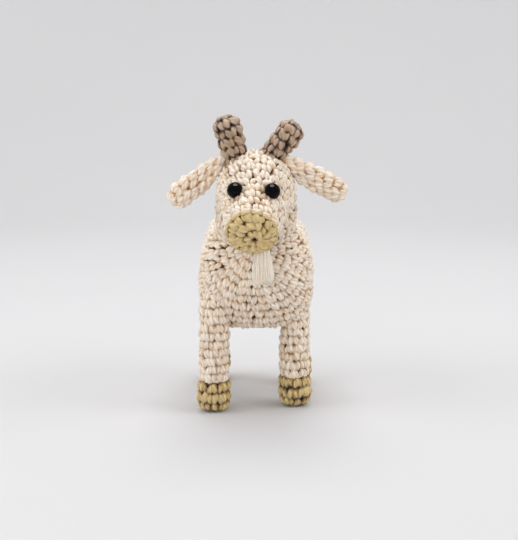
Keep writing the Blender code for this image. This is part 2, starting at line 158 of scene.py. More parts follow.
# The goatee, and its (strands, radius, rings, sides) for the thick and the fine yarn
GOATEE_LENGTH = 17.4 * MM
GOATEE_ROOT_HALF = 2.7 * MM
GOATEE_SPREAD = 1.7 * MM
GOATEE_HALF_DEPTH = 1.5 * MM
GOATEE_DEEPENING = 0.8 * MM
GOATEE_SUNK = 1.5 * MM
GOATEE_ASIDE = 0.7 * MM
GOATEE_FORWARD = 1.2 * MM
GOATEE_END_SHARE = 0.78
GOATEE_END_POWER = 2.4
GOATEE_YARN = ((40, 0.44 * MM, 14, 10), (180, 0.12 * MM, 16, 6))

# The stage
FLOOR_RADIUS = 0.55
CURVE_RADIUS = 0.35

SIDES = {"left": 1.0, "right": -1.0}
LEGS = ("front_left", "front_right", "rear_left", "rear_right")

JOINTS = {joint["name"]: joint for joint in frame["joints"]}
HEAD_CENTRE = Vector(JOINTS["head_turn"]["pos_m"])


def unit(vectors):
    """Vectors of length 1, and zero where there is no length."""
    lengths = np.linalg.norm(vectors, axis=-1, keepdims=True)
    return vectors / np.maximum(lengths, 1e-12)


def lumps(points, height):
    """Slow unevenness of hand stuffing, as a height for each point."""
    x, y, z = points[..., 0] * 1000.0, points[..., 1] * 1000.0, points[..., 2] * 1000.0
    waves = np.sin(0.31 * x + 0.17 * z + 0.6) + np.sin(0.27 * y - 0.21 * z + 1.9)
    waves = waves + np.sin(0.23 * z + 0.19 * y + 4.1)
    return height * waves / 3.0


class Skin:
    """The outside of a stuffed tube, from its first round to its last.

    A place on it is a turn around the tube and a share of the way along it. Both are spaced evenly.
    """

    COLUMNS = 96
    ROWS = 160

    def __init__(self, ring, uneven=0.25 * MM):
        along = np.linspace(0.0, 1.0, self.ROWS + 1)[:, None]
        turn = np.linspace(0.0, 1.0, self.COLUMNS + 1)[None, :]
        points = ring(along, turn)
        points = self.space_turns(points)
        self.points = self.space_rows(points)
        self.normals = self.find_normals()
        self.points = self.points + self.normals * lumps(self.points, uneven)[..., None]

    def space_turns(self, points):
        steps = np.linalg.norm(np.diff(points, axis=1), axis=2).mean(axis=0)
        reached = np.concatenate([[0.0], np.cumsum(steps)])
        wanted = np.linspace(0.0, reached[-1], self.COLUMNS + 1)
        place = np.interp(wanted, reached, np.arange(self.COLUMNS + 1))
        low = np.minimum(place.astype(int), self.COLUMNS - 1)
        share = (place - low)[None, :, None]
        return points[:, low] * (1.0 - share) + points[:, low + 1] * share

    def space_rows(self, points):
        steps = np.linalg.norm(np.diff(points, axis=0), axis=2)
        reached = np.concatenate([np.zeros((1, points.shape[1])), np.cumsum(steps, axis=0)])
        self.length = float(reached[-1].mean())
        spaced = np.empty_like(points)
        for column in range(points.shape[1]):
            wanted = np.linspace(0.0, reached[-1, column], self.ROWS + 1)
            for axis in range(3):
                spaced[:, column, axis] = np.interp(wanted, reached[:, column], points[:, column, axis])
        return spaced

    def find_normals(self):
        points = self.points
        wrapped = np.concatenate([points[:, -2:-1], points, points[:, 1:2]], axis=1)
        around = (wrapped[:, 2:] - wrapped[:, :-2]) * 0.5
        down = np.gradient(points, axis=0)
        normals = unit(np.cross(down, around))
        middle = points[:, :-1].mean(axis=1, keepdims=True)
        outwards = (normals * (points - middle)).sum()
        if outwards < 0.0:
            normals = -normals
        for end, inner in ((0, 1), (-1, -2)):
            if np.linalg.norm(points[end, 0] - points[end, self.COLUMNS // 2]) < 0.2 * MM:
                normals[end] = unit(normals[inner].mean(axis=0))
        return normals

    def place(self, turn, along):
        """Points on the skin, and the directions straight out of it."""
        column = (turn % 1.0) * self.COLUMNS
        row = np.clip(along, 0.0, 1.0) * self.ROWS
        left = np.minimum(column.astype(int), self.COLUMNS - 1)
        top = np.minimum(row.astype(int), self.ROWS - 1)
        across = (column - left)[..., None]
        down = (row - top)[..., None]
        found = []
        for grid in (self.points, self.normals):
            upper = grid[top, left] * (1.0 - across) + grid[top, left + 1] * across
            lower = grid[top + 1, left] * (1.0 - across) + grid[top + 1, left + 1] * across
            found.append(upper * (1.0 - down) + lower * down)
        return found[0], unit(found[1])

    def girth(self, along):
        """The length of one round."""
        turn = np.linspace(0.0, 1.0, 49)
        points, _ = self.place(turn[:-1], np.full(48, along))
        return float(np.linalg.norm(points - np.roll(points, 1, axis=0), axis=1).sum())


def spline_weights(controls, samples):
    """Weights that turn control points into samples on a smooth curve through them."""
    weights = np.zeros((samples, controls))
    for sample, place in enumerate(np.linspace(0.0, controls - 1.0, samples)):
        first = min(int(place), controls - 2)
        t = place - first
        cubic = (
            -0.5 * t + t**2 - 0.5 * t**3,
            1.0 - 2.5 * t**2 + 1.5 * t**3,
            0.5 * t + 2.0 * t**2 - 1.5 * t**3,
            -0.5 * t**2 + 0.5 * t**3,
        )
        for step, weight in enumerate(cubic):
            control = min(max(first - 1 + step, 0), controls - 1)
            weights[sample, control] += weight
    return weights


class Strands:
    """A group of tubes of yarn with equal numbers of rings, and what their material reads."""

    def __init__(self, points, normals, radii, base, sides=STRAND_SIDES, ply_depth=PLY_DEPTH):
        count, rings, _ = points.shape
        along = unit(np.gradient(points, axis=1))
        across = unit(np.cross(along, normals))
        out = np.cross(across, along)
        steps = np.linalg.norm(np.diff(points, axis=1), axis=2)
        length = np.concatenate([np.zeros((count, 1)), np.cumsum(steps, axis=1)], axis=1)
        start = RANDOM.uniform(0.0, 2.0 * math.pi, count)
        angle = (start[:, None] + PLY_TWIST * length)[..., None] + 2.0 * math.pi * np.arange(sides) / sides
        ply = 1.0 - ply_depth * (0.5 - 0.5 * np.cos(PLIES * 2.0 * math.pi * np.arange(sides) / sides))
        reach = radii[..., None] * ply
        arms = np.cos(angle)[..., None] * across[:, :, None] + np.sin(angle)[..., None] * out[:, :, None]
        self.vertices = points[:, :, None] + arms * reach[..., None]
        # How deep each point lies below the skin, which the material turns into painted shade.
        sunk = -((self.vertices - base[:, :, None]) * normals[:, :, None]).sum(axis=3)
        self.depth = np.clip(sunk / FABRIC_DEPTH, -0.3, 1.0)
        self.tone = np.broadcast_to(RANDOM.uniform(0.0, 1.0, count)[:, None, None], self.depth.shape)
        self.length = length
        self.count, self.rings, self.sides = count, rings, sides

    def faces(self, first_vertex):
        """Four-cornered faces, and one many-cornered face on each end."""
        ring = np.arange(self.sides)
        after = (ring + 1) % self.sides
        rings = np.arange(self.count)[:, None] * self.rings + np.arange(self.rings - 1)
        starts = (first_vertex + rings * self.sides)[..., None]
        quads = np.stack(
            [starts + ring, starts + after, starts + self.sides + after, starts + self.sides + ring], axis=3
        ).reshape(-1, 4)
        tubes = first_vertex + np.arange(self.count)[:, None] * self.rings * self.sides
        heads = tubes + ring[::-1]
        tails = tubes + (self.rings - 1) * self.sides + ring
        return quads, np.concatenate([heads, tails])

    def corners(self):
        """Where each corner of the four-cornered faces lies around and along its strand."""
        around = np.arange(self.sides) / self.sides
        step = 1.0 / self.sides
        u = np.stack([around, around + step, around + step, around], axis=1)
        u = np.broadcast_to(u, (self.count, self.rings - 1, self.sides, 4))
        near, far = self.length[:, :-1], self.length[:, 1:]
        v = np.stack([near, near, far, far], axis=2)[:, :, None, :] * 100.0
        v = np.broadcast_to(v, u.shape)
        return np.stack([u, v], axis=4).reshape(-1, 2)


def add_object(name, data):
    thing = bpy.data.objects.new(name, data)
    bpy.context.scene.collection.objects.link(thing)
    return thing


def chain(shape, outline):
    """Corners and edges of an outline of (radius, height) points, in the plane where y is 0."""
    corners = [shape.verts.new((radius, 0.0, height)) for radius, height in outline]
    return corners + [shape.edges.new(pair) for pair in zip(corners, corners[1:])]


def backing(skin, start=0.0, stop=1.0, depth=BACKING_DEPTH, closed=True):
    """Vertices and faces of a smooth sheet behind the stitches, which closes the gaps between them. In a
    yarn piece it is painted in the dark gap shade.
    """
    rows, columns = 48, 48
    along = np.linspace(start, stop, rows + 1)[:, None] + np.zeros((1, columns))
    turn = np.zeros((rows + 1, 1)) + np.arange(columns)[None, :] / columns
    points, normals = skin.place(turn, along)
    points = points - normals * depth
    index = np.arange((rows + 1) * columns).reshape(rows + 1, columns)
    after = np.roll(index, -1, axis=1)
    quads = np.stack([index[:-1], index[1:], after[1:], after[:-1]], axis=2).reshape(-1, 4)
    ends = np.stack([index[0], index[-1][::-1]]) if closed else np.zeros((0, columns), int)
    return points.reshape(-1, 3), quads, ends


def yarn_piece(name, groups, sheet, material):
    """One mesh of all the strands and the sheet behind them."""
    vertices, depth, tone, uv, loops, totals = [], [], [], [], [], []
    first = 0
    for group in groups:
        quads, caps = group.faces(first)
        vertices.append(group.vertices.reshape(-1, 3))
        depth.append(group.depth.ravel())
        tone.append(group.tone.ravel())
        uv += [group.corners(), np.zeros((caps.size, 2))]
        loops += [quads.ravel(), caps.ravel()]
        totals += [np.full(len(quads), 4), np.full(len(caps), group.sides)]
        first += vertices[-1].shape[0]
    points, quads, ends = sheet
    vertices.append(points)
    # Painted shade: the sheet takes the dark gap colour (depth 0.9), standing in for the shade deep between
    # the stitches.
    depth.append(np.full(len(points), 0.9))
    tone.append(np.full(len(points), 0.5))
    uv += [np.zeros((quads.size, 2)), np.zeros((ends.size, 2))]
    loops += [quads.ravel() + first, ends.ravel() + first]
    totals += [np.full(len(quads), 4), np.full(len(ends), ends.shape[1])]
    loops, totals = np.concatenate(loops), np.concatenate(totals)
    vertices = np.concatenate(vertices)
    mesh = bpy.data.meshes.new(name)
    mesh.vertices.add(len(vertices))
    mesh.vertices.foreach_set("co", vertices.astype(np.float32).ravel())
    mesh.loops.add(len(loops))
    mesh.loops.foreach_set("vertex_index", loops.astype(np.int32))
    mesh.polygons.add(len(totals))
    starts = np.concatenate([[0], np.cumsum(totals)[:-1]])
    mesh.polygons.foreach_set("loop_start", starts.astype(np.int32))
    mesh.update(calc_edges=True)
    mesh.validate()
    layer = mesh.uv_layers.new(name="yarn")
    layer.data.foreach_set("uv", np.concatenate(uv).astype(np.float32).ravel())
    for label, values in (("depth", depth), ("tone", tone)):
        attribute = mesh.attributes.new(label, "FLOAT", "POINT")
        attribute.data.foreach_set("value", np.concatenate(values).astype(np.float32))
    mesh.shade_smooth()
    mesh.materials.append(material)
    return add_object(name, mesh)


# One stitch, seen from outside. Each point is (across in stitches, along in rows, height in mm, share of the
# radius). Only RIDGE_PATH has its second number in RIDGE_SWAY, not in rows.
LEG_PATH = (
    (-0.06, -0.20, -3.1, 0.66),
    (-0.13, 0.00, -1.55, 0.96),
    (-0.23, 0.27, -0.52, 1.10),
    (-0.30, 0.56, -0.50, 1.12),
    (-0.32, 0.82, -1.45, 1.00),
    (-0.31, 0.98, -3.1, 0.70),
)
BAR_PATH = (
    (-0.40, 0.86, -3.4, 0.7),
    (-0.24, 0.95, -2.2, 0.95),
    (0.00, 0.98, -1.50, 1.10),
    (0.24, 0.93, -2.2, 0.95),
    (0.40, 0.82, -3.4, 0.7),
)
ROSETTE_PATH = (
    (-0.10, -0.12, -3.3, 0.68),
    (-0.17, 0.08, -1.5, 0.98),
    (-0.24, 0.36, -0.35, 1.14),
    (-0.26, 0.64, -0.40, 1.12),
    (-0.25, 0.86, -1.6, 0.98),
    (-0.22, 1.00, -3.3, 0.70),
)
RIDGE_PATH = (
    (-0.62, 0.0, -0.9, 0.55),
    (-0.3, 0.12, 0.0, 0.95),
    (0.0, 0.0, 0.22, 1.05),
    (0.3, -0.12, 0.0, 0.95),
    (0.62, 0.0, -0.9, 0.55),
)
LEG_RINGS = 13
BAR_RINGS = 11

# Each strand of a stitch is (path, rings, radius, which way it leans, how far aside it starts).
CROCHET = ((LEG_PATH, LEG_RINGS, LEG_RADIUS, -1.0, 0.0), (LEG_PATH, LEG_RINGS, LEG_RADIUS, 1.0, 0.0))
CROCHET += ((BAR_PATH, BAR_RINGS, BAR_RADIUS, 1.0, 0.5),)
ROSETTE = ((ROSETTE_PATH, LEG_RINGS, ROSETTE_RADIUS, -1.0, 0.0),)
ROSETTE += ((ROSETTE_PATH, LEG_RINGS, ROSETTE_RADIUS, 1.0, 0.0),)


def rows_between(skin, start, stop, height=ROW_HEIGHT, width=STITCH_WIDTH, fewest=6):
    """Even rounds from start to stop, each as (share where it starts, share where it ends, stitches)."""
    count = max(1, round((stop - start) * skin.length / height))
    edges = np.linspace(start, stop, count + 1)
    return [(a, b, max(fewest, round(skin.girth(0.5 * (a + b)) / width))) for a, b in zip(edges, edges[1:])]


def lay_out(skin, rows):
    """Each stitch of some rounds: its turn, where it starts, its height, its width and its room for yarn."""
    stitches = []
    shift = RANDOM.uniform(0.0, 1.0)
    for start, stop, count in rows:
        shift += 0.5 + RANDOM.uniform(-0.25, 0.25)
        room = skin.girth(0.5 * (start + stop)) / count / STITCH_WIDTH
        for number in range(count):
            stitches.append(((number + shift) / count, start, stop - start, 1.0 / count, room))
    turn, first, height, width, room = np.array(stitches).T
    turn = turn + RANDOM.normal(0.0, 0.06, len(turn)) * width
    first = first + RANDOM.normal(0.0, 0.05, len(first)) * height
    return turn, first, height, width, np.clip(room, 0.72, 1.15)


def stitch_strands(skin, rows, keep=None, kinds=CROCHET, press=None):
    """The strands of rounds of stitches on a skin. Each kind of strand is there once in every stitch."""
    centre, first, height, width, room = lay_out(skin, rows)
    count = len(centre)
    groups = []
    for path, rings, radius, side, aside in kinds:
        points = np.array(path)
        across = points[:, 0] * side + aside + STITCH_SKEW * points[:, 1]
        jitter = RANDOM.normal(0.0, 1.0, (count, 5, 1))
        across = across * (1.0 + 0.10 * jitter[:, 0]) + 0.10 * jitter[:, 1] * points[:, 1]
        turn = centre[:, None] + across * width[:, None]
        along = first[:, None] + (points[:, 1] + 0.05 * jitter[:, 2]) * height[:, None]
        raised = (points[:, 2] + 0.16 * jitter[:, 3]) * MM - YARN_SINK
        thick = points[:, 3] * (1.0 + 0.07 * jitter[:, 4]) * radius * (0.35 + 0.65 * room[:, None])
        weights = spline_weights(len(path), rings).T
        turn, along, raised, thick = turn @ weights, along @ weights, raised @ weights, thick @ weights
        base, normals = skin.place(turn, along)
        if press is not None:
            raised = raised - press(base)
        if keep is not None:
            kept = keep(base[:, rings // 2])
            base, normals, raised, thick = base[kept], normals[kept], raised[kept], thick[kept]
        groups.append(Strands(base + normals * raised[..., None], normals, thick, base))
    return groups


def ridge_strands(skin, along, count, lift, radius):
    """A round of front loops that lie flat, each running round the tube and past the start of the next."""
    path = spline_weights(len(RIDGE_PATH), LEG_RINGS) @ np.array(RIDGE_PATH)
    centre = np.arange(count) / count
    turn = centre[:, None] + path[None, :, 0] / count
    level = along + path[None, :, 1] * (RIDGE_SWAY / skin.length) + np.zeros((count, 1))
    base, normals = skin.place(turn, level)
    raised = (path[None, :, 2] * MM + lift - YARN_SINK) * np.ones((count, 1))
    thick = path[None, :, 3] * radius * (1.0 + RANDOM.normal(0.0, 0.05, (count, 1)))
    return [Strands(base + normals * raised[..., None], normals, thick, base)]


# Forms


def neck_rise(behind_chest):
    """How much higher the back is towards the neck, by the distance behind the chest."""
    return NECK_RISE * 0.5 * (1.0 + np.cos(math.pi * np.clip(behind_chest / NECK_LENGTH, 0.0, 1.0)))


def body_ring(along, turn):
    """The barrel of the body, from the chest's pole to the rump's."""
    low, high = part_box("body_shell")
    half_width = high.x
    front, rear = low.y, high.y
    bottom = low.z
    share_along = along + 0.0 * turn
    angle = 2.0 * math.pi * turn + 0.0 * along
    chest_turn = np.clip(share_along / CHEST_SHARE, 0.0, 1.0) * 0.5 * math.pi
    rump_turn = np.clip((1.0 - share_along) / RUMP_SHARE, 0.0, 1.0) * 0.5 * math.pi
    barrel = np.clip((share_along - CHEST_SHARE) / (1.0 - CHEST_SHARE - RUMP_SHARE), 0.0, 1.0)
    cap = np.where(share_along < 0.5, chest_turn, rump_turn)
    full = np.sin(cap) ** (2.0 / CAP_POWER)
    depth = 1.0 - np.maximum(np.cos(cap), 0.0) ** (2.0 / CAP_POWER)
    start, stop = front + CHEST_DEPTH, rear - RUMP_DEPTH
    y = np.where(share_along < 0.5, front + CHEST_DEPTH * depth, rear - RUMP_DEPTH * depth)
    y = np.where((barrel > 0.0) & (barrel < 1.0), start + (stop - start) * barrel, y)
    pole = np.where(share_along < 0.5, CHEST_POLE_HEIGHT, RUMP_POLE_HEIGHT)
    up, out = np.cos(angle), np.sin(angle)
    power = np.where(up > 0.0, BACK_POWER, UNDERSIDE_POWER)
    size = (np.abs(up) ** power + np.abs(out) ** power) ** (-1.0 / power)
    half_height = 0.5 * (BODY_TOP - bottom) + np.where(up > 0.0, neck_rise(y - front), 0.0)
    x = half_width * out * size
    z = 0.5 * (BODY_TOP + bottom) + half_height * up * size
    return np.stack([full * x, y, pole + full * (z - pole)], axis=-1)


def inside_body(points, margin=0.0):
    """Whether points lie in the body's form, made larger by margin."""
    low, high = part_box("body_shell")
    front, rear = low.y - margin, high.y + margin
    chest, rump = CHEST_DEPTH + margin, RUMP_DEPTH + margin
    x, y, z = points[..., 0], points[..., 1], points[..., 2]
    near = np.clip((front + chest - y) / chest, 0.0, 1.0)
    far = np.clip((y - rear + rump) / rump, 0.0, 1.0)
    full = np.where(y < 0.0, 1.0 - near**CAP_POWER, 1.0 - far**CAP_POWER) ** (1.0 / CAP_POWER)
    full = np.maximum(full, 1e-6)
    pole = np.where(near > 0.0, CHEST_POLE_HEIGHT, RUMP_POLE_HEIGHT)
    across, high_up = x / full, pole + (z - pole) / full
    middle = 0.5 * (BODY_TOP + low.z)
    above = high_up > middle
    half_height = 0.5 * (BODY_TOP - low.z) + margin + np.where(above, neck_rise(y - front), 0.0)
    power = np.where(above, BACK_POWER, UNDERSIDE_POWER)
    value = np.abs(across / (high.x + margin)) ** power + np.abs((high_up - middle) / half_height) ** power
    return (value < 1.0) & (y > front) & (y < rear)


def turned_ring(outline, matrix):
    """Rings of a turned form about the matrix's Z axis, from an outline of (radius, height) points."""
    outline = np.array(outline)
    steps = np.linalg.norm(np.diff(outline, axis=0), axis=1)
    reached = np.concatenate([[0.0], np.cumsum(steps)]) / steps.sum()
    grid = np.array(matrix)

    def ring(along, turn):
        radius = np.interp(along, reached, outline[:, 0])
        height = np.interp(along, reached, outline[:, 1])
        angle = 2.0 * math.pi * turn
        local = np.stack([radius * np.cos(angle), radius * np.sin(angle), height + 0.0 * angle], axis=-1)
        return local @ grid[:3, :3].T + grid[:3, 3]

    return ring


def arc(centre_height, radius, start, stop, steps=24):
    """Points (radius, height) on a circle about the axis, by angle from the axis top."""
    angles = np.linspace(start, stop, steps + 1)
    return [(max(radius * math.sin(a), 0.0), centre_height + radius * math.cos(a)) for a in angles]


def pointing(centre, direction):
    """A matrix at centre whose local Z points along direction."""
    return Matrix.Translation(centre) @ direction.to_track_quat("Z", "Y").to_matrix().to_4x4()


def head_axis():
    flat = math.cos(HEAD_TILT)
    return Vector((-math.sin(HEAD_TURN) * flat, -math.cos(HEAD_TURN) * flat, -math.sin(HEAD_TILT)))


HEAD_MATRIX = pointing(HEAD_CENTRE, head_axis())


# Materials


def new_material(name):
    material = bpy.data.materials.new(name)
    material.use_nodes = True
    nodes, links = material.node_tree.nodes, material.node_tree.links
    return material, nodes, links, nodes["Principled BSDF"]


def math_node(nodes, links, operation, first, second=None):
    node = nodes.new("ShaderNodeMath")
    node.operation = operation
    for place, value in enumerate((first, second)):
        if value is None:
            continue
        if isinstance(value, (int, float)):
            node.inputs[place].default_value = value
        else:
            links.new(value, node.inputs[place])
    return node.outputs[0]


def ramp_node(nodes, links, factor, stops):
    node = nodes.new("ShaderNodeValToRGB")
    elements = node.color_ramp.elements
    while len(elements) < len(stops):
        elements.new(0.5)
    for element, (place, colour) in zip(elements, stops):
        element.position = place
        element.color = (*colour, 1.0)
    links.new(factor, node.inputs[0])
    return node.outputs[0]


def mix_colours(nodes, links, kind, factor, first, second):
    node = nodes.new("ShaderNodeMix")
    node.data_type = "RGBA"
    node.blend_type = kind
    for name, value in (("Factor_Float", factor), ("A_Color", first), ("B_Color", second)):
        target = next(i for i in node.inputs if i.identifier == name)
        if isinstance(value, (int, float)):
            target.default_value = value
        elif isinstance(value, tuple):
            target.default_value = (*value, 1.0)
        else:
            links.new(value, target)
    return next(o for o in node.outputs if o.identifier == "Result_Color")


def attribute_value(nodes, name):
    node = nodes.new("ShaderNodeAttribute")
    node.attribute_name = name
    return node.outputs["Fac"]


def noise_value(nodes, links, scale, detail, vector=None):
    node = nodes.new("ShaderNodeTexNoise")
    node.inputs["Scale"].default_value = scale
    node.inputs["Detail"].default_value = detail
    if vector is None:
        coordinates = nodes.new("ShaderNodeTexCoord")
        vector = coordinates.outputs["Object"]
    links.new(vector, node.inputs["Vector"])
    return node.outputs["Fac"]


def yarn_material(name, crest, middle, gap_shade, tint, stops=(0.34, 0.74), groove_shading=0.8):
    """Plied cotton in its own colour on the crests, with painted shade that is darker and warmer where the
    yarn lies deeper, between the stitches and in the grooves between plies. Its threads are bump.
    """
    material, nodes, links, shader = new_material(name)
    depth = attribute_value(nodes, "depth")
    tone = attribute_value(nodes, "tone")
    # Painted shade: the colour darkens with depth, from the crest colour down to the dark gap colour.
    colour = ramp_node(nodes, links, depth, ((0.0, crest), (stops[0], middle), (stops[1], gap_shade)))
    blotch = noise_value(nodes, links, 190.0, 2.0)
    patch = ramp_node(nodes, links, blotch, ((0.42, (1.0, 1.0, 1.0)), (0.70, tint)))
    colour = mix_colours(nodes, links, "MULTIPLY", 1.0, colour, patch)
    shade = ramp_node(nodes, links, tone, ((0.0, (0.88, 0.87, 0.86)), (1.0, (1.0, 1.0, 1.0))))
    colour = mix_colours(nodes, links, "MULTIPLY", 1.0, colour, shade)

    uv = nodes.new("ShaderNodeUVMap")
    uv.uv_map = "yarn"
    parts = nodes.new("ShaderNodeSeparateXYZ")
    links.new(uv.outputs[0], parts.inputs[0])
    turn = math_node(nodes, links, "MULTIPLY", parts.outputs[0], 2.0 * math.pi)
    ply = math_node(nodes, links, "COSINE", math_node(nodes, links, "MULTIPLY", turn, float(PLIES)))
    thread_turn = math_node(nodes, links, "MULTIPLY", turn, float(PLIES * THREADS_IN_PLY))
    thread = math_node(nodes, links, "COSINE", thread_turn)
    # Painted shade: each ply's valley is darkened, as the shade in the grooves between the plies.
    groove_shade = ramp_node(nodes, links, ply, ((0.0, (0.80, 0.76, 0.72)), (0.5, (1.0, 1.0, 1.0))))
    colour = mix_colours(nodes, links, "MULTIPLY", groove_shading, colour, groove_shade)
    links.new(colour, shader.inputs["Base Color"])

    stretch = nodes.new("ShaderNodeMapping")
    stretch.inputs["Scale"].default_value = (26.0, 5.0, 1.0)
    links.new(uv.outputs[0], stretch.inputs[0])
    fibre = noise_value(nodes, links, 2.2, 3.0, stretch.outputs[0])
    threads = math_node(nodes, links, "MULTIPLY", thread, 0.5)
    fibres = math_node(nodes, links, "MULTIPLY", fibre, 1.3)
    relief = math_node(nodes, links, "ADD", threads, fibres)
    bump = nodes.new("ShaderNodeBump")
    bump.inputs["Strength"].default_value = 0.55
    bump.inputs["Distance"].default_value = 0.10 * MM
    links.new(relief, bump.inputs["Height"])
    links.new(bump.outputs[0], shader.inputs["Normal"])
    rough = math_node(nodes, links, "ADD", math_node(nodes, links, "MULTIPLY", fibre, 0.25), 0.52)
    links.new(rough, shader.inputs["Roughness"])
    shader.inputs["Sheen Weight"].default_value = 0.25
    shader.inputs["Sheen Roughness"].default_value = 0.5
    shader.inputs["Specular IOR Level"].default_value = 0.45
    return material


# Each yarn's colours are for the crests, half-way down and the gaps. The last two are painted shade for yarn
# that lies deeper.
CREAM = yarn_material(
    "cream_cotton", (0.95, 0.855, 0.74), (0.75, 0.575, 0.40), (0.19, 0.08, 0.018), (0.98, 0.91, 0.83)
)
STRAW = yarn_material(
    "straw_cotton",
    (0.735, 0.57, 0.28),
    (0.38, 0.255, 0.088),
    (0.035, 0.014, 0.002),
    (0.94, 0.88, 0.74),
    stops=(0.24, 0.60),
)
# Painted light: the ear yarn is warmer than the body's, with lighter orange gaps, standing in for light
# bouncing inside the thin ear fabric.
EAR_GLOW_CREAM = yarn_material(
    "ear_cotton_glow", (0.97, 0.87, 0.75), (0.90, 0.73, 0.55), (0.55, 0.34, 0.17), (0.98, 0.88, 0.78)
)
# Partly the brushed yarn's own paler colour, partly painted light: the colours are lifted to full white with
# light gaps, standing in for light shining through the loose fibres.
BEARD_GLOW = yarn_material(
    "brushed_cotton_glow",
    (1.0, 0.94, 0.84),
    (1.0, 0.86, 0.69),
    (0.90, 0.70, 0.50),
    (1.0, 0.96, 0.91),
    groove_shading=0.0,
)
TAN = yarn_material(
    "tan_cotton",
    (0.51, 0.365, 0.25),
    (0.13, 0.072, 0.036),
    (0.006, 0.002, 0.001),
    (0.88, 0.80, 0.72),
    stops=(0.21, 0.54),
)


def bead_material():
    """Polished black plastic with faint handling marks."""
    material, nodes, links, shader = new_material("black_bead")
    marks = noise_value(nodes, links, 900.0, 2.0)
    stops = ((0.3, (0.001, 0.001, 0.001)), (0.8, (0.003, 0.003, 0.004)))
    links.new(ramp_node(nodes, links, marks, stops), shader.inputs["Base Color"])
    rough = math_node(nodes, links, "ADD", math_node(nodes, links, "MULTIPLY", marks, 0.04), 0.02)
    links.new(rough, shader.inputs["Roughness"])
    shader.inputs["IOR"].default_value = 1.17
    return material


def fibre_material():
    """Loose white polyester filling."""
    material, nodes, links, shader = new_material("fibre_filling")
    cloud = noise_value(nodes, links, 300.0, 6.0)
    stops = ((0.3, (0.55, 0.52, 0.48)), (0.7, (0.86, 0.85, 0.82)))
    links.new(ramp_node(nodes, links, cloud, stops), shader.inputs["Base Color"])
    bump = nodes.new("ShaderNodeBump")
    bump.inputs["Strength"].default_value = 0.8
    bump.inputs["Distance"].default_value = 0.4 * MM
    links.new(cloud, bump.inputs["Height"])
    links.new(bump.outputs[0], shader.inputs["Normal"])
    shader.inputs["Roughness"].default_value = 0.95
    return material


def washer_material():
    """Moulded, slightly cloudy plastic."""
    material, nodes, links, shader = new_material("washer_plastic")
    cloud = noise_value(nodes, links, 500.0, 3.0)
    stops = ((0.3, (0.74, 0.77, 0.80)), (0.7, (0.84, 0.86, 0.88)))
    links.new(ramp_node(nodes, links, cloud, stops), shader.inputs["Base Color"])
    rough = math_node(nodes, links, "ADD", math_node(nodes, links, "MULTIPLY", cloud, 0.2), 0.3)
    links.new(rough, shader.inputs["Roughness"])
    return material


BEAD = bead_material()
FIBRE = fibre_material()
WASHER = washer_material()


# Pieces


def filling(name, skin, node, body, depth=3.6 * MM):
    """The fibre inside a crocheted shell."""
    points, quads, ends = backing(skin, 0.02, 0.98, depth)
    mesh = bpy.data.meshes.new(name)
    mesh.from_pydata(points.tolist(), [], quads.tolist() + ends.tolist())
    mesh.shade_smooth()
    mesh.materials.append(FIBRE)
    thing = add_object(name, mesh)
    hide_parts(node)
    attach(thing, body)


def make_body():
    skin = Skin(body_ring, 0.45 * MM)
    rows = rows_between(skin, 0.0, 1.0)

    def keep(points):
        return np.linalg.norm(points - np.array(HEAD_CENTRE), axis=1) > HEAD_RADIUS - 2.0 * MM

    strands = stitch_strands(skin, rows, keep)
    body = yarn_piece("body_fabric", strands, backing(skin), CREAM)
    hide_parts("body_shell")
    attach(body, "torso")
    filling("body_filling", skin, "body_stuffing", "torso")


def neck_edges():
    """Two closed curves round the neck, on the head and on the body, and the way down through them."""
    down = np.array(NECK_DOWN)
    across = np.array((1.0, 0.0, 0.0))
    around = np.linspace(0.0, 2.0 * math.pi, Skin.COLUMNS + 1)
    aside = across * np.cos(around)[:, None] + np.cross(down, across) * np.sin(around)[:, None]
    sideways = np.abs(np.cos(around)) ** 1.5

    def place(polar, reach):
        direction = down * np.cos(polar)[:, None] + aside * np.sin(polar)[:, None]
        return np.array(HEAD_CENTRE) + direction * reach[:, None]

    reach = HEAD_RADIUS + NECK_REACH + NECK_REACH_AT_SIDES * sideways
    low = np.zeros(len(around))
    high = np.full(len(around), math.radians(NECK_WIDEST_POLAR))
    for _ in range(24):
        polar = 0.5 * (low + high)
        inside = inside_body(place(polar, reach))
        low, high = np.where(inside, polar, low), np.where(inside, high, polar)
    polar = np.radians(NECK_POLAR + NECK_POLAR_AT_SIDES * sideways)
    upper = place(polar, 0.0 * reach + HEAD_RADIUS - 0.3 * MM)
    return upper, place(low, reach), Vector(down)


def make_neck():
    """The rounds that join the head to the body."""
    upper, lower, down = neck_edges()

    def ring(along, turn):
        share = along[..., None] + 0.0 * turn[..., None]
        bulge = NECK_BULGE * np.sin(math.pi * share)
        points = lower[None] * (1.0 - share) + upper[None] * share
        return points + unit(points - np.array(HEAD_CENTRE)) * bulge

    skin = Skin(ring, 0.2 * MM)
    strands = stitch_strands(skin, rows_between(skin, 0.0, 1.0))
    neck = yarn_piece("neck_rounds", strands, backing(skin, closed=False, depth=1.2 * MM), CREAM)
    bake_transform(neck)


def make_head():
    outline = [(MUZZLE_RADIUS, MUZZLE_START)] + arc(0.0, HEAD_RADIUS, CHEEK_ANGLE, math.pi)
    skin = Skin(turned_ring(outline, HEAD_MATRIX), 0.3 * MM)
    rows = rows_between(skin, 0.045, 1.0)
    eyes = [np.array(eye_matrix(side).translation) for side in SIDES]

    def keep(points):
        clear = [np.linalg.norm(points - eye, axis=1) > EYE_SOCKET for eye in eyes]
        return clear[0] & clear[1] & ~inside_body(points, -3.5 * MM)

    def press(points):
        away = [np.linalg.norm(points - eye, axis=-1) for eye in eyes]
        near = [np.clip((EYE_DENT - distance) / MM, 0.0, 0.7) for distance in away]
        return (near[0] + near[1]) * MM

    strands = stitch_strands(skin, rows, keep, press=press)
    strands += ridge_strands(skin, 0.028, 14, -0.25 * MM, 1.0 * MM)
    head = yarn_piece("head_fabric", strands, backing(skin), CREAM)
    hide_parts("head_shell")
    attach(head, "head")
    filling("head_filling", skin, "head_stuffing", "head")


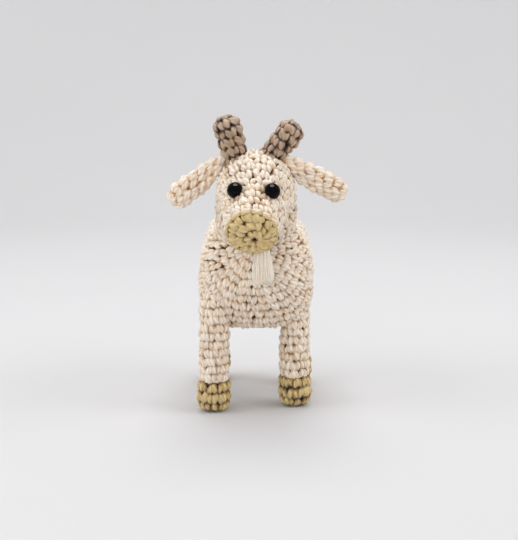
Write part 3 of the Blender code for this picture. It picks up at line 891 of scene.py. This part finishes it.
def make_muzzle():
    """Three rounds of plump stitches about a hole that isn't quite in the middle."""
    radius = (MUZZLE_RADIUS**2 + MUZZLE_BULGE**2) / (2.0 * MUZZLE_BULGE)
    outline = arc(MUZZLE_START + MUZZLE_BULGE - radius, radius, 0.0, math.asin(MUZZLE_RADIUS / radius))
    even = turned_ring(outline, HEAD_MATRIX)
    aside = np.array(Vector((MUZZLE_HOLE_ASIDE, 0.0, 0.0)) - head_outwards(0.0) * MUZZLE_HOLE_DOWN)

    def ring(along, turn):
        return even(along, turn) + aside * ((1.0 - along) ** 1.3)[..., None]

    skin = Skin(ring, 0.25 * MM)
    strands = stitch_strands(skin, MUZZLE_ROUNDS, kinds=ROSETTE)
    strands += ridge_strands(skin, 0.985, 14, 0.15 * MM, 0.85 * MM)
    muzzle = yarn_piece("muzzle_fabric", strands, backing(skin), STRAW)
    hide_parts("muzzle")
    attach(muzzle, "head")


def make_legs():
    for name in LEGS:
        joint = JOINTS[name + "_hip"]
        hip = Vector(joint["pos_m"])
        body = joint["child"]
        hoof_low, hoof_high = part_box("hoof_" + name)
        leg_low, leg_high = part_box("leg_" + name)
        hoof_radius = 0.5 * (hoof_high.x - hoof_low.x)
        leg_radius = 0.5 * (leg_high.x - leg_low.x)
        rim = hoof_high.z
        edge = HOOF_ROUNDING
        matrix = Matrix.Translation((hip.x, hip.y, 0.0))
        corner = [(hoof_radius - edge + r, h) for r, h in arc(edge, -edge, 0.0, -0.5 * math.pi, 8)]
        hoof_outline = [(0.0, 0.0)] + corner + [(hoof_radius, rim - edge), (hoof_radius - 0.4 * MM, rim)]
        hoof_skin = Skin(turned_ring(hoof_outline, matrix), 0.15 * MM)
        strands = stitch_strands(hoof_skin, HOOF_ROUNDS)
        hoof = yarn_piece("hoof_fabric_" + name, strands, backing(hoof_skin), STRAW)
        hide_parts("hoof_" + name)
        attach(hoof, body)

        dome = [(r, LEG_DOME_HEIGHT + h) for r, h in arc(0.0, leg_radius, 0.5 * math.pi, 0.15 * math.pi, 6)]
        leg_outline = [(leg_radius, rim - 0.2 * MM)] + dome
        leg_skin = Skin(turned_ring(leg_outline, matrix), 0.3 * MM)
        rows = rows_between(leg_skin, 0.0, 1.0)

        def keep(points):
            return ~inside_body(points, -2.5 * MM)

        strands = stitch_strands(leg_skin, rows, keep)
        strands += ridge_strands(leg_skin, 0.01, 9, -0.55 * MM, 1.0 * MM)
        leg = yarn_piece("leg_fabric_" + name, strands, backing(leg_skin), CREAM)
        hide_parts("leg_" + name)
        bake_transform(leg)

        filling_outline = [(leg_radius, LEG_FILLING_FOOT), (leg_radius, LEG_FILLING_TOP)]
        filling_skin = Skin(turned_ring(filling_outline, matrix), 0.1 * MM)
        filling("leg_filling_" + name, filling_skin, "leg_stuffing_" + name, body, depth=3.0 * MM)


def horn_matrix(side):
    lean = SIDES[side] * HORN_LEAN[side]
    out = HORN_FOOT_OUT[side]
    foot = HEAD_CENTRE + Vector((SIDES[side] * out, 0.0, math.sqrt(HEAD_RADIUS**2 - out**2)))
    return pointing(foot, Vector((math.sin(lean), 0.0, math.cos(lean))))


def make_horns():
    for side in SIDES:
        radius = HORN_RADIUS[side]
        tip = HORN_LENGTH[side] - radius
        outline = arc(tip, radius, 0.0, 0.5 * math.pi) + [(HORN_FOOT_RADIUS, -HORN_SUNK)]
        skin = Skin(turned_ring(outline, horn_matrix(side)), 0.3 * MM)
        rows = rows_between(skin, 0.05, 1.0, height=FINE_HEIGHT, width=HORN_STITCH_WIDTH, fewest=5)
        horn = yarn_piece("horn_fabric_" + side, stitch_strands(skin, rows), backing(skin), TAN)
        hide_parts("horn_" + side)
        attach(horn, "head")
        filling("horn_filling_" + side, skin, "horn_stuffing_" + side, "head", depth=2.6 * MM)


def ear_ring(side):
    """A flat tube from its round tip to the seam on the head, the seam's place, and the way out from it."""
    out = SIDES[side]
    seam = np.array(JOINTS[side + "_ear_fold"]["pos_m"])
    seam_along = np.array((-out * math.sin(EAR_SEAM_LEAN), 0.0, math.cos(EAR_SEAM_LEAN)))
    droop = EAR_DROOP[side]
    forwards = np.array((out * math.cos(droop), 0.0, -math.sin(droop)))
    across = np.array((out * math.sin(droop), 0.0, math.cos(droop)))

    def ring(along, turn):
        share = along + 0.0 * turn
        angle = 2.0 * math.pi * turn + 0.0 * along
        cap = np.clip(share / EAR_TIP_SHARE, 0.0, 1.0) * 0.5 * math.pi
        down = np.clip((share - EAR_TIP_SHARE) / (1.0 - EAR_TIP_SHARE), 0.0, 1.0)
        at_tip = share < EAR_TIP_SHARE
        widening = EAR_TIP_RADIUS + (EAR_SEAM_HALF - EAR_TIP_RADIUS) * down**2
        width = np.where(at_tip, EAR_TIP_RADIUS * np.sin(cap), widening)
        thick = EAR_HALF_THICKNESS * np.where(at_tip, np.sin(cap) ** 0.7, 1.0)
        tip_reach = EAR_LENGTH[side] + EAR_TIP_RADIUS * np.cos(cap)
        reach = np.where(at_tip, tip_reach, EAR_LENGTH[side] * (1.0 - down) - EAR_SUNK * down)
        turned = (down**2)[..., None]
        wide = unit(across * (1.0 - turned) + seam_along * turned)
        centre = seam + forwards * reach[..., None]
        depth = np.array((0.0, 1.0, 0.0))
        flat = np.sign(np.cos(angle)) * np.abs(np.cos(angle)) ** 0.85
        deep = np.sign(np.sin(angle)) * np.abs(np.sin(angle)) ** 0.85
        return centre + wide * (width * flat)[..., None] + depth * (thick * deep)[..., None]

    return ring, seam, forwards


def make_ears():
    for side in SIDES:
        ring, seam, forwards = ear_ring(side)
        skin = Skin(ring, 0.2 * MM)
        rows = rows_between(skin, 0.04, 1.0, height=FINE_HEIGHT)
        strands = stitch_strands(skin, rows)
        ear = yarn_piece("ear_fabric_" + side, strands, backing(skin, depth=1.9 * MM), EAR_GLOW_CREAM)
        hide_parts("ear_" + side)
        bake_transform(ear)


def make_tail():
    joint = JOINTS["tail_swing"]
    root = Vector(joint["pos_m"])
    direction = Vector((0.0, math.cos(TAIL_DROOP), -math.sin(TAIL_DROOP)))
    tip = TAIL_LENGTH - TAIL_RADIUS
    outline = arc(tip, TAIL_RADIUS, 0.0, 0.5 * math.pi) + [(TAIL_ROOT_RADIUS, -TAIL_SUNK)]
    skin = Skin(turned_ring(outline, pointing(root, direction)), 0.15 * MM)
    rows = rows_between(skin, 0.06, 1.0, height=FINE_HEIGHT, fewest=5)
    strands = stitch_strands(skin, rows)
    tail = yarn_piece("tail_fabric", strands, backing(skin), CREAM)
    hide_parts("tail")
    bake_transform(tail)


def head_outwards(around):
    """Square to the head's axis: angle 0 is upwards, a positive angle is to the goat's left."""
    axis = head_axis()
    up = Vector((0.0, 0.0, 1.0))
    up = (up - axis * up.dot(axis)).normalized()
    return up * math.cos(around) - axis.cross(up) * math.sin(around)


def eye_matrix(side):
    """On the head's surface, pointing straight out of it."""
    cheek_radius = HEAD_RADIUS * math.sin(CHEEK_ANGLE)
    cheek_along = HEAD_RADIUS * math.cos(CHEEK_ANGLE)
    slope = (cheek_radius - MUZZLE_RADIUS) / (MUZZLE_START - cheek_along)
    outwards = head_outwards(SIDES[side] * EYE_AROUND[side])
    reach = MUZZLE_RADIUS + slope * (MUZZLE_START - EYE_ALONG)
    return pointing(HEAD_CENTRE + head_axis() * EYE_ALONG + outwards * reach, outwards + head_axis() * slope)


def make_eyes():
    """Domed beads with a rounded rim, on the posts that hold them."""
    curve = (EYE_RADIUS**2 + EYE_HEIGHT**2) / (2.0 * EYE_HEIGHT)
    edge = math.asin(min(EYE_RADIUS / curve, 1.0))
    top = EYE_BACK + EYE_HEIGHT
    rim = EYE_BACK - 0.5 * MM
    back = EYE_BACK - 0.9 * MM
    foot = EYE_BACK - EYE_POST_LENGTH
    outline = arc(top - curve, curve, 0.0, edge, 20)
    outline += [(EYE_RADIUS - 0.05 * MM, rim), (EYE_RADIUS - 0.5 * MM, back)]
    outline += [(EYE_POST_RADIUS, back), (EYE_POST_RADIUS, foot), (0.0, foot)]
    for side in SIDES:
        shape = bmesh.new()
        chain(shape, outline)
        mesh = bpy.data.meshes.new("eye_bead_" + side)
        shape.to_mesh(mesh)
        shape.free()
        bead = add_object("eye_bead_" + side, mesh)
        screw = bead.modifiers.new("turn", "SCREW")
        screw.steps = 56
        screw.render_steps = 56
        screw.use_merge_vertices = True
        screw.merge_threshold = 0.01 * MM
        screw.use_smooth_shade = True
        mesh.materials.append(BEAD)
        bead.matrix_world = eye_matrix(side)
        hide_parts("eye_" + side)
        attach(bead, "head")
        washer = frame["nodes"]["eye_washer_" + side]
        washer.data.materials.clear()
        washer.data.materials.append(WASHER)


def make_goatee():
    """A brushed-out tuft: a soft fan of fibre with combed strands over it, wider and blunter at the end."""
    root = np.array(JOINTS["beard_swing"]["pos_m"])

    def ring(along, turn):
        share = along + 0.0 * turn
        angle = 2.0 * math.pi * turn + 0.0 * along
        end = np.clip((share - GOATEE_END_SHARE) / (1.0 - GOATEE_END_SHARE), 0.0, 1.0)
        rounding = (1.0 - end**GOATEE_END_POWER) ** (1.0 / GOATEE_END_POWER)
        widening = np.sin(0.5 * math.pi * np.clip(share / 0.8, 0.0, 1.0)) ** 2
        half = (GOATEE_ROOT_HALF + GOATEE_SPREAD * widening) * rounding
        deep = (GOATEE_HALF_DEPTH + GOATEE_DEEPENING * share) * rounding
        x = root[0] + half * np.cos(angle) + GOATEE_ASIDE * share**2
        y = root[1] + deep * np.sin(angle) - GOATEE_FORWARD * share
        z = root[2] + GOATEE_SUNK - share * GOATEE_LENGTH
        return np.stack([x, y, z], axis=-1)

    skin = Skin(ring, 0.1 * MM)
    groups = []
    for count, radius, rings, sides in GOATEE_YARN:
        share = np.linspace(0.0, 1.0, rings)
        start = RANDOM.uniform(0.0, 1.0, (count, 1))
        wave = RANDOM.normal(0.0, 1.0, (count, 3))
        sway = wave[:, :1] * np.sin(6.0 * share) + wave[:, 1:2] * np.sin(11.0 * share + 1.0)
        turn = start + 0.012 * sway
        along = share * RANDOM.uniform(0.93, 1.0, (count, 1))
        base, normals = skin.place(turn, along)
        raised = (-0.20 + 0.08 * wave[:, 2:]) * MM + 0.0 * share
        radii = radius * (1.0 - 0.55 * share**4) * RANDOM.uniform(0.75, 1.2, (count, 1))
        centres = base + normals * raised[..., None]
        strands = Strands(centres, normals, radii, base, sides=sides, ply_depth=0.0)
        # Painted light: the tuft's edges keep the whitest colour and its middle is warmer and darker,
        # standing in for light shining through the thin edges.
        edge = np.abs(np.cos(2.0 * math.pi * turn))
        inner = 0.22 * (1.0 - edge**2) * np.clip(share * 1.6, 0.2, 1.0) * (share < 0.9)
        strands.depth = np.broadcast_to(inner[:, :, None], strands.depth.shape)
        groups.append(strands)
    goatee = yarn_piece("goatee_tuft", groups, backing(skin, depth=0.25 * MM), BEARD_GLOW)
    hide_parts("goatee")
    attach(goatee, "beard")


# Stage


def make_stage():
    """A pale seamless floor that curves up all the way round."""
    profile = [(0.0, 0.0), (0.30, 0.0), (FLOOR_RADIUS, 0.0)]
    for angle in np.linspace(0.1, 0.5 * math.pi, 14):
        out, up = math.sin(angle), 1.0 - math.cos(angle)
        profile.append((FLOOR_RADIUS + CURVE_RADIUS * out, CURVE_RADIUS * up))
    shape = bmesh.new()
    bmesh.ops.spin(
        shape,
        geom=chain(shape, profile),
        axis=(0, 0, 1),
        cent=(0, 0, 0),
        steps=96,
        angle=2.0 * math.pi,
        use_merge=True,
    )
    bmesh.ops.remove_doubles(shape, verts=list(shape.verts), dist=0.01 * MM)
    bmesh.ops.recalc_face_normals(shape, faces=list(shape.faces))
    mesh = bpy.data.meshes.new("backdrop")
    shape.to_mesh(mesh)
    shape.free()
    mesh.shade_smooth()
    backdrop = add_object("backdrop", mesh)
    material, nodes, links, shader = new_material("backdrop_paper")
    grain = noise_value(nodes, links, 3.0, 4.0)
    stops = ((0.3, (0.575, 0.57, 0.575)), (0.7, (0.595, 0.59, 0.595)))
    links.new(ramp_node(nodes, links, grain, stops), shader.inputs["Base Color"])
    shader.inputs["Roughness"].default_value = 0.85
    mesh.materials.append(material)


def add_light(name, place, size, power, target):
    lamp = bpy.data.lights.new(name, "AREA")
    lamp.energy = power
    lamp.size = size
    thing = add_object(name, lamp)
    thing.location = place
    thing.visible_glossy = False
    thing.visible_camera = False
    thing.rotation_euler = (Vector(target) - Vector(place)).to_track_quat("-Z", "Y").to_euler()


def ring_lamp(place, radius, thickness, strength):
    """A round tube lamp above the table, which shows as a small ring in the eyes."""
    bpy.ops.mesh.primitive_torus_add(
        major_radius=radius, minor_radius=thickness, major_segments=64, minor_segments=12, location=place
    )
    lamp = bpy.context.object
    lamp.name = "ring_lamp"
    material = bpy.data.materials.new("lamp_glow")
    material.use_nodes = True
    shader = material.node_tree.nodes["Principled BSDF"]
    shader.inputs["Emission Color"].default_value = (1.0, 0.98, 0.96, 1.0)
    shader.inputs["Emission Strength"].default_value = strength
    lamp.data.materials.append(material)
    lamp.visible_camera = False
    lamp.visible_diffuse = False


def make_lights():
    world = bpy.data.worlds.new("studio")
    bpy.context.scene.world = world
    world.use_nodes = True
    sky = world.node_tree.nodes["Background"]
    sky.inputs[0].default_value = (0.97, 0.98, 1.0, 1.0)
    sky.inputs[1].default_value = 0.62
    ring_lamp((0.0, -0.03, 0.66), 0.15, 0.035, 42.0)
    add_light("overhead", (0.0, 0.34, 0.80), 0.50, 3.9, (0.0, 0.20, 0.0))
    add_light("key", (-0.12, -0.52, 0.20), 0.30, 0.62, (0.0, 0.0, 0.07))
    add_light("left_panel", (-0.52, -0.14, 0.40), 0.40, 1.3, (0.0, 0.0, 0.07))
    add_light("right_panel", (0.52, -0.14, 0.40), 0.40, 1.45, (0.0, 0.0, 0.07))


def make_camera():
    """Straight in front of the goat and a little above it."""
    elevation = math.radians(10.0)
    distance = 0.70
    target = Vector((0.0013, -0.024, 0.0627))
    view_height = 0.2322
    lens = bpy.data.cameras.new("camera")
    lens.sensor_width = 36.0
    lens.lens = 36.0 * distance / view_height
    lens.clip_start = 0.01
    camera = add_object("camera", lens)
    camera.location = target + distance * Vector((0.0, -math.cos(elevation), math.sin(elevation)))
    camera.rotation_euler = (0.5 * math.pi - elevation, 0.0, 0.0)
    bpy.context.scene.camera = camera


make_camera()
make_body()
make_neck()
make_head()
make_muzzle()
make_legs()
make_horns()
make_ears()
make_tail()
make_eyes()
make_goatee()
make_stage()
make_lights()
bpy.context.scene.view_settings.view_transform = "Standard"
